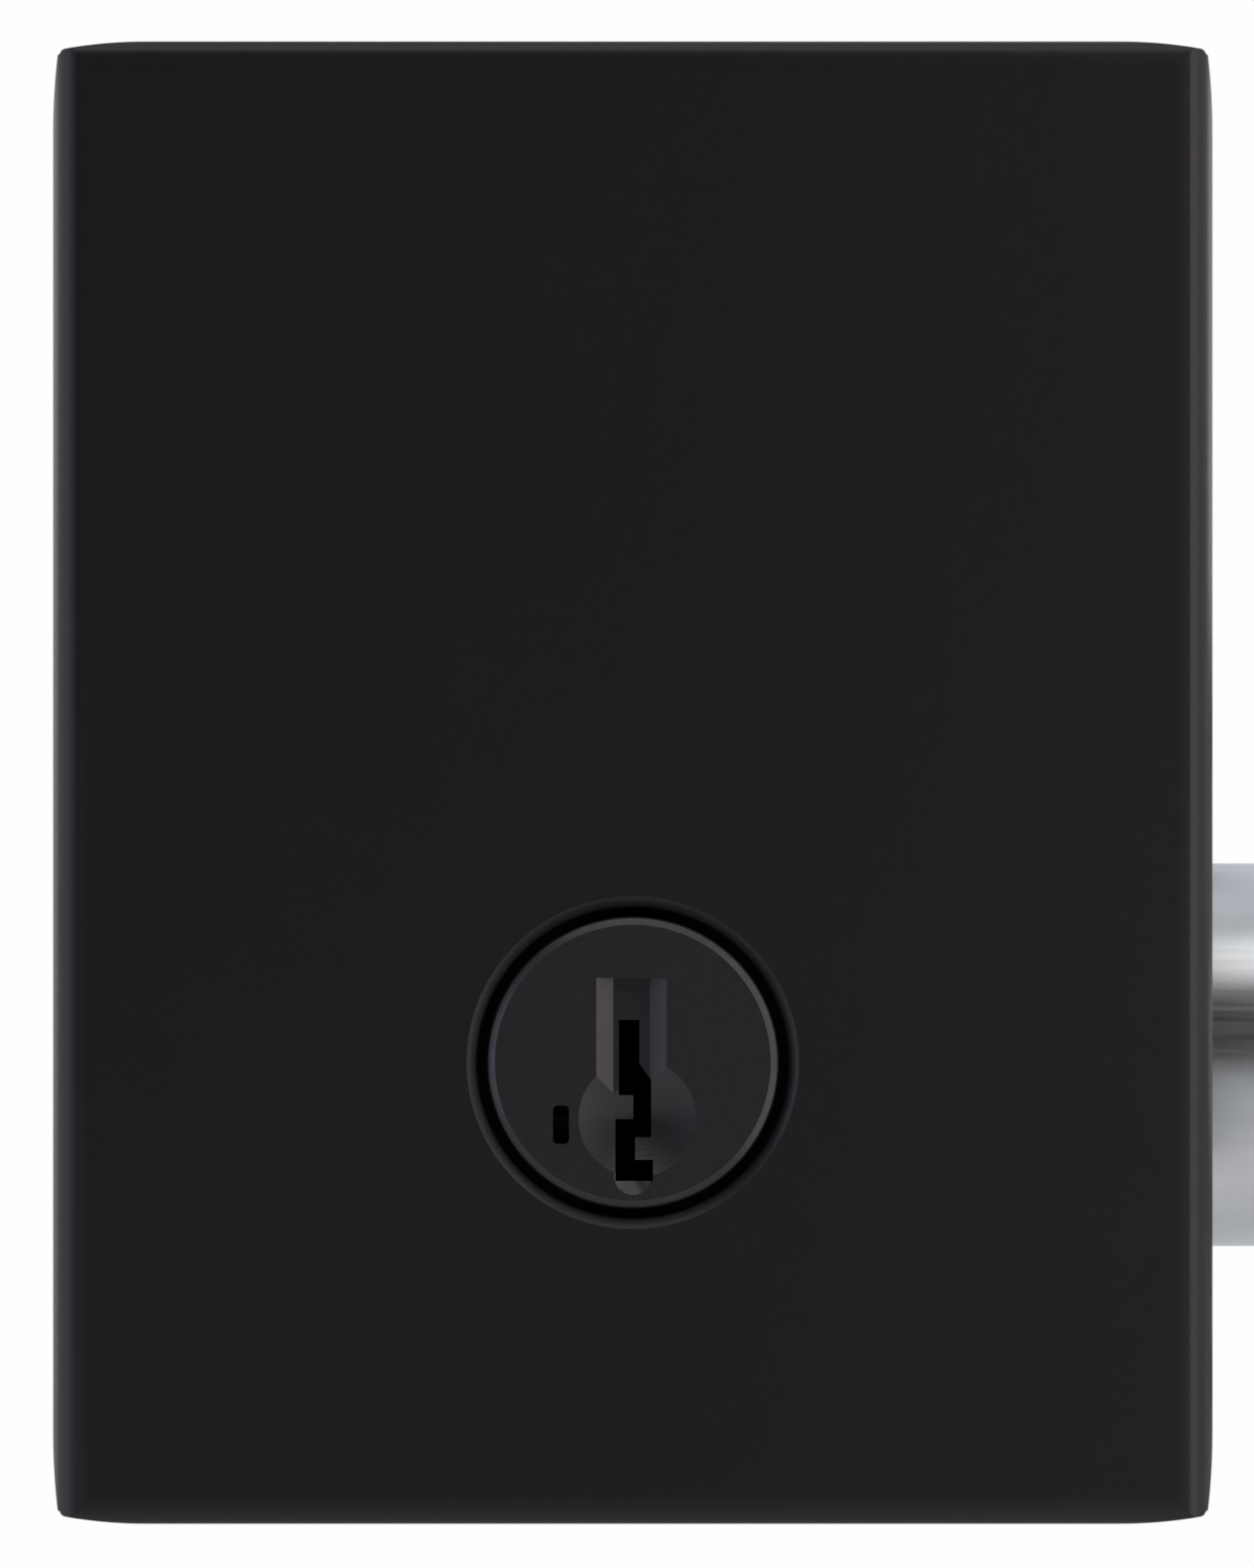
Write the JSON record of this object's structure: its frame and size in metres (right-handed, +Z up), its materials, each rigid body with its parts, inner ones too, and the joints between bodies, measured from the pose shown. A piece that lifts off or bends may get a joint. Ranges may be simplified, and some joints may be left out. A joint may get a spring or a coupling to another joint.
{
  "type": "deadbolt door lock",
  "caption": "Deadbolt lock with a plain rectangular black cover and round key cylinder outside, a latch with a sliding bolt, and a thumbturn inside.",
  "frame": {"origin": "cylinder axis at the outside face of the door", "axes": "+X towards the bolt and door edge, +Y through the door to the inside, +Z up; the keyed face looks along -Y"},
  "size_m": [0.1217, 0.095, 0.0919],
  "materials": {
    "black_paint": "smooth fine satin black paint over cast zinc",
    "dark_plug": "satin black coating on brass",
    "steel": "bright zinc plated steel",
    "hardened_steel": "dark hardened steel",
    "brass": "machined brass",
    "cast_zinc": "bare cast zinc, matt"
  },
  "bodies": {
    "root": {"exterior_cover": "black_paint", "cylinder_shell": "dark_plug", "mounting_adapter": "cast_zinc", "cover_screw_left": "steel", "cover_screw_right": "steel", "guard_pin_left": "hardened_steel", "guard_pin_right": "hardened_steel", "bolt_case": "steel", "latch_backplate": "steel", "faceplate": "black_paint", "faceplate_screw_upper": "black_paint", "faceplate_screw_lower": "black_paint", "interior_plate": "steel", "interior_rose": "black_paint", "rose_screw": "black_paint", "through_bolt_upper": "steel", "through_bolt_lower": "steel", "bushing": "brass"},
    "turn": {"torque_blade": "steel", "bolt_cam": "cast_zinc", "thumbturn": "black_paint", "thumbturn_shaft": "cast_zinc", "thumbturn_clip": "steel", "thumbturn_screw": "steel"},
    "plug": {"plug": "dark_plug", "plug_clip": "steel", "rack_carrier": "brass", "spring_cover": "steel", "pin_spring_1": "steel", "pin_spring_2": "steel", "pin_spring_3": "steel", "pin_spring_4": "steel", "pin_spring_5": "steel", "sidebar_spring_front": "steel", "sidebar_spring_rear": "steel"},
    "bolt": {"dead_bolt": "steel", "bolt_tail": "steel", "bolt_rivet": "steel", "anti_saw_pin_upper": "hardened_steel", "anti_saw_pin_lower": "hardened_steel"},
    "pin_stack_1": {"pin_1": "brass", "rack_1": "brass"},
    "pin_stack_2": {"pin_2": "brass", "rack_2": "brass"},
    "pin_stack_3": {"pin_3": "brass", "rack_3": "brass"},
    "pin_stack_4": {"pin_4": "brass", "rack_4": "brass"},
    "pin_stack_5": {"pin_5": "brass", "rack_5": "brass"},
    "sidebar": {"sidebar": "brass"}
  },
  "joints": [
    {"name": "thumbturn_turn", "type": "hinge", "parent": "root", "child": "turn", "pos_m": [0, 0, 0], "axis": [0, -1, 0], "range_deg": [0, 90]},
    {"name": "plug_turn", "type": "hinge", "parent": "root", "child": "plug", "pos_m": [0, 0, 0], "axis": [0, -1, 0], "range_deg": [0, 90]},
    {"name": "bolt_throw", "type": "slide", "parent": "root", "child": "bolt", "axis": [-1, 0, 0], "range_m": [0, 0.0254]},
    {"name": "pin_lift_1", "type": "slide", "parent": "plug", "child": "pin_stack_1", "axis": [0, 0, 1], "range_m": [0, 0.0022], "stiffness_N_per_m": 150, "springref_m": -0.001, "deforming": ["pin_spring_1"]},
    {"name": "pin_lift_2", "type": "slide", "parent": "plug", "child": "pin_stack_2", "axis": [0, 0, 1], "range_m": [0, 0.0022], "stiffness_N_per_m": 150, "springref_m": -0.001, "deforming": ["pin_spring_2"]},
    {"name": "pin_lift_3", "type": "slide", "parent": "plug", "child": "pin_stack_3", "axis": [0, 0, 1], "range_m": [0, 0.0022], "stiffness_N_per_m": 150, "springref_m": -0.001, "deforming": ["pin_spring_3"]},
    {"name": "pin_lift_4", "type": "slide", "parent": "plug", "child": "pin_stack_4", "axis": [0, 0, 1], "range_m": [0, 0.0022], "stiffness_N_per_m": 150, "springref_m": -0.001, "deforming": ["pin_spring_4"]},
    {"name": "pin_lift_5", "type": "slide", "parent": "plug", "child": "pin_stack_5", "axis": [0, 0, 1], "range_m": [0, 0.0022], "stiffness_N_per_m": 150, "springref_m": -0.001, "deforming": ["pin_spring_5"]},
    {"name": "sidebar_out", "type": "slide", "parent": "plug", "child": "sidebar", "axis": [-1, 0, 0], "range_m": [0, 0.001], "deforming": ["sidebar_spring_front", "sidebar_spring_rear"]}
  ],
  "couplings": [
    {"joint": "plug_turn", "follows": "bolt_throw", "rad_per_m": 61.84},
    {"joint": "thumbturn_turn", "follows": "bolt_throw", "rad_per_m": 61.84}
  ]
}
